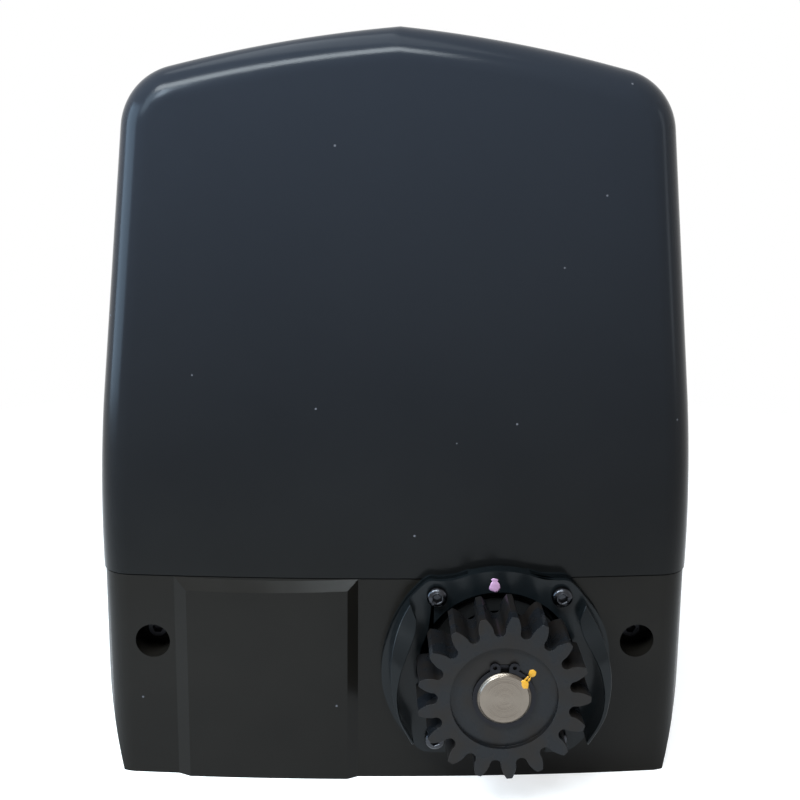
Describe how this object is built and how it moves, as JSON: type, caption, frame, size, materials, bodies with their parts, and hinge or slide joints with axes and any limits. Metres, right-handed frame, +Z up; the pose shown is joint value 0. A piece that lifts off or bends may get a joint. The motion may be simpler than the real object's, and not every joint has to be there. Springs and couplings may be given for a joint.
{
  "type": "sliding gate motor",
  "caption": "Dark moulded sliding gate motor with a lift-off ridged hood, a lower housing, and a guarded steel rack pinion driven by a worm gearmotor with a key release lever.",
  "frame": {"origin": "centre of the four foundation slots on the underside of the base", "axes": "+Z up, -Y towards the gate and its rack (the pinion side), +X to the right when facing the pinion"},
  "size_m": [0.2732, 0.2446, 0.3441],
  "materials": {
    "housing_plastic": "satin, fine moulded texture",
    "base_plastic": "satin, fine moulded texture",
    "gear_steel": "blackened, oiled",
    "turned_steel": "turned",
    "spring_steel": "phosphated",
    "fastener_steel": "black zinc",
    "zinc_steel": "bright zinc",
    "cast_alloy": "as cast",
    "bronze": "machined",
    "lamination": "varnished",
    "copper_winding": "varnished",
    "bearing_steel": "ground",
    "rubber_black": "matte",
    "deck_plastic": "fine texture",
    "board_green": "solder mask",
    "terminal_green": "moulded",
    "relay_black": "moulded",
    "capacitor_shell": "moulded",
    "lever_plastic": "satin"
  },
  "bodies": {
    "chassis": {"base_housing": "base_plastic", "pinion_guard": "base_plastic", "hood_seal": "rubber_black", "oil_seal": "rubber_black", "cable_grommet": "rubber_black", "guard_screws": "fastener_steel", "hood_screws": "fastener_steel", "case_bolts": "zinc_steel", "cover_screws": "zinc_steel", "motor_bolts": "zinc_steel", "deck_screws": "zinc_steel", "transformer_screws": "zinc_steel", "board_screws": "zinc_steel", "gear_case": "cast_alloy", "gear_case_cover": "cast_alloy", "motor_case": "cast_alloy", "motor_end_cap": "cast_alloy", "front_bearing": "bearing_steel", "rear_bearing": "bearing_steel", "worm_bearing_lower": "bearing_steel", "worm_bearing_upper": "bearing_steel", "motor_bearing": "bearing_steel", "stator_core": "lamination", "transformer_core": "lamination", "stator_windings": "copper_winding", "transformer_coil": "copper_winding", "deck_plate": "deck_plastic", "board_carrier": "deck_plastic", "capacitor_clip": "deck_plastic", "transformer_bracket": "zinc_steel", "limit_sensor_bracket": "zinc_steel", "lever_pivot_pins": "zinc_steel", "run_capacitor": "capacitor_shell", "control_board": "board_green", "receiver_module": "board_green", "terminal_blocks": "terminal_green", "relays": "relay_black", "fuse_holders": "relay_black", "board_components": "relay_black", "limit_sensor": "relay_black"},
    "hood": {"hood": "housing_plastic"},
    "rotor": {"worm_shaft": "turned_steel", "rotor_core": "lamination"},
    "wheel": {"worm_wheel": "bronze"},
    "output": {"output_shaft": "turned_steel", "pinion": "gear_steel", "retaining_ring": "spring_steel", "pinion_key": "zinc_steel", "clutch_key": "zinc_steel"},
    "dog": {"clutch_dog": "turned_steel"},
    "lever": {"release_lever": "lever_plastic", "crank_pin": "zinc_steel", "flap_rivet": "zinc_steel"},
    "lock": {"lock_cylinder": "zinc_steel"},
    "flap": {"lock_flap": "fastener_steel"},
    "shift": {"release_rod": "zinc_steel", "shift_fork": "zinc_steel"}
  },
  "joints": [
    {"name": "rotor_spin", "type": "hinge", "parent": "chassis", "child": "rotor", "pos_m": [0, -0.015, 0.0595], "axis": [0, 0, 1], "continuous": true},
    {"name": "wheel_spin", "type": "hinge", "parent": "chassis", "child": "wheel", "pos_m": [0.0465, 0, 0.0595], "axis": [0, 1, 0], "continuous": true},
    {"name": "output_spin", "type": "hinge", "parent": "chassis", "child": "output", "pos_m": [0.0465, 0, 0.0595], "axis": [0, 1, 0], "continuous": true},
    {"name": "release_lever_swing", "type": "hinge", "parent": "chassis", "child": "lever", "pos_m": [0.0808, 0.08465, 0.0595], "axis": [0, 0, -1], "range_deg": [0, 90]},
    {"name": "release_rod_slide", "type": "slide", "parent": "chassis", "child": "shift", "axis": [0, 1, 0], "range_m": [0, 0.0055]},
    {"name": "clutch_slide", "type": "slide", "parent": "output", "child": "dog", "axis": [0, 1, 0], "range_m": [0, 0.0055]},
    {"name": "lock_turn", "type": "hinge", "parent": "lever", "child": "lock", "pos_m": [0.008, 0.09, 0.0595], "axis": [0, -1, 0], "range_deg": [0, 90]},
    {"name": "lock_flap_swing", "type": "hinge", "parent": "lever", "child": "flap", "pos_m": [0.008, 0.099, 0.0721], "axis": [0, 1, 0], "range_deg": [-120, 120]},
    {"name": "hood_lift", "type": "slide", "parent": "chassis", "child": "hood", "axis": [0, 0, 1], "range_m": [0, 0.3]}
  ],
  "couplings": [
    {"joint": "wheel_spin", "follows": "rotor_spin", "ratio": -0.033333},
    {"joint": "output_spin", "follows": "rotor_spin", "ratio": -0.033333},
    {"joint": "release_rod_slide", "follows": "release_lever_swing", "m_per_rad": 0.0035014},
    {"joint": "clutch_slide", "follows": "release_lever_swing", "m_per_rad": 0.0035014}
  ]
}
